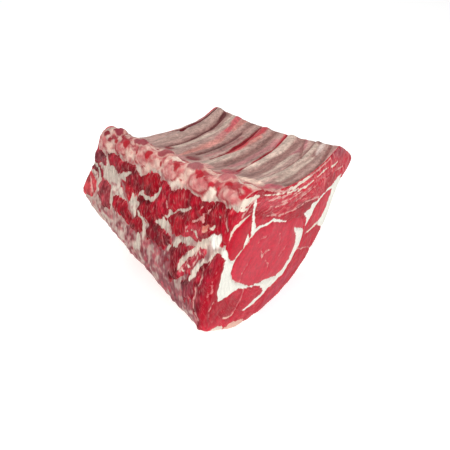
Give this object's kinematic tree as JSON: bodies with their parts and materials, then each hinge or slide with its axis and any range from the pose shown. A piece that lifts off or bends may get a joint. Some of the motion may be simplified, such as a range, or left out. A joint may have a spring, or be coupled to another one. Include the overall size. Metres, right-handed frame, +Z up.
{
  "type": "beef rib roast",
  "caption": "Raw bone-in beef rib roast resting on its fat side: split backbone, rib plate above, cut eye muscle at the chuck end.",
  "frame": {"origin": "centre of the underside of the bounding box, on the surface that the roast rests on", "axes": "+Z up as it rests on its fat side, +X along the spine towards the chuck end, +Y from the split backbone towards the rib ends"},
  "size_m": [0.3156, 0.3602, 0.218],
  "materials": {
    "lean_meat": "moist dark red lean meat with pale connective tissue",
    "eye_meat": "moist fine-grained red muscle with fine marbling",
    "seam_fat": "waxy cream fat",
    "rib_membrane": "greyish pink membrane over bone, slightly moist",
    "sawn_bone": "sawn pink bone and gristle with red marrow"
  },
  "bodies": {
    "root": {"lean": "lean_meat", "ribeye": "eye_meat", "oval_muscle": "eye_meat", "seam_fat": "seam_fat", "rib_1": "rib_membrane", "rib_2": "rib_membrane", "rib_3": "rib_membrane", "rib_4": "rib_membrane", "rib_5": "rib_membrane", "vertebra_1": "sawn_bone", "vertebra_2": "sawn_bone", "vertebra_3": "sawn_bone", "vertebra_4": "sawn_bone", "vertebra_5": "sawn_bone", "vertebra_6": "sawn_bone", "feather_bone": "sawn_bone"}
  },
  "joints": []
}
